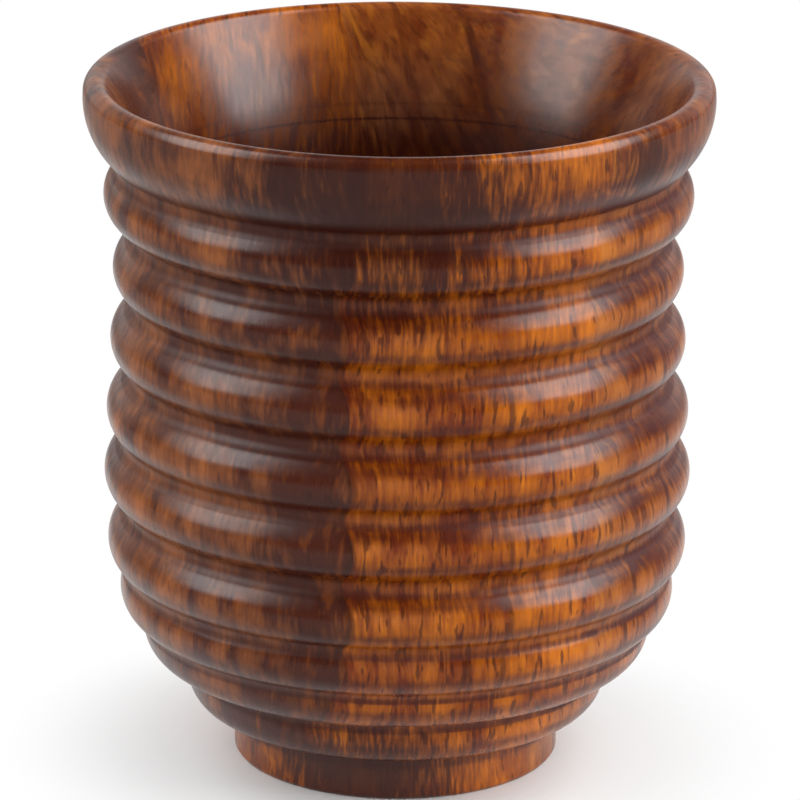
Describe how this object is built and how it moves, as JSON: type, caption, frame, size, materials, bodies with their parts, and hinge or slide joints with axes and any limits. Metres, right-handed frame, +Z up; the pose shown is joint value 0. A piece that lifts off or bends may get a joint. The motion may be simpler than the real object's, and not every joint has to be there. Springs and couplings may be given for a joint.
{
  "type": "handleless cup",
  "caption": "Ribbed wooden cup without a handle, with a flared round lip and a short foot, turned from a glued blank, for tea and other drinks.",
  "frame": {"origin": "middle of the foot's underside, on the lathe axis", "axes": "+Z up along the lathe axis; -Y is the side that faces the viewer of the picture and +X is at that viewer's right"},
  "size_m": [0.0758, 0.0758, 0.085],
  "materials": {
    "dark_wood": "dark red-brown stained wood under satin lacquer",
    "orange_wood": "orange-brown stained wood under satin lacquer",
    "red_wood": "red-brown stained wood under satin lacquer"
  },
  "bodies": {
    "root": {"left_board": "dark_wood", "middle_board": "orange_wood", "right_board": "red_wood"}
  },
  "joints": []
}
